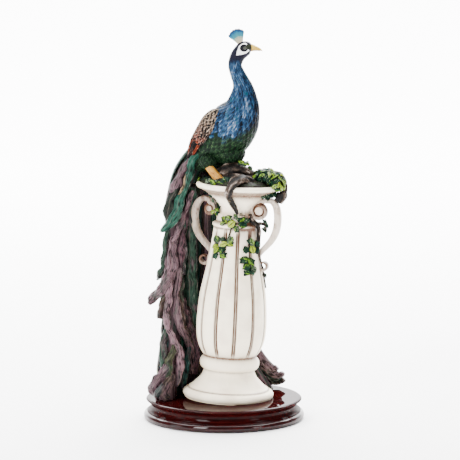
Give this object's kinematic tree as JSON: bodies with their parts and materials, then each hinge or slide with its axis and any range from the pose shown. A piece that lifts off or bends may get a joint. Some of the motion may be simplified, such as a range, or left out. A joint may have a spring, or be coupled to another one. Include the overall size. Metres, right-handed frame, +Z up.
{
  "type": "peacock figurine",
  "caption": "Painted resin peacock perched on a lobed urn with scroll handles and ivy, its long train hanging behind, on a round turned wooden plinth.",
  "frame": {"origin": "centre of the plinth's underside", "axes": "+Z up, -Y towards the viewer of the figurine's front, +X to the viewer's right, where the bird looks"},
  "size_m": [0.1806, 0.1806, 0.4386],
  "materials": {
    "mahogany": "high gloss dark red varnish",
    "painted_resin": "hand painted satin"
  },
  "bodies": {
    "root": {"plinth": "mahogany", "figurine": "painted_resin"}
  },
  "joints": []
}
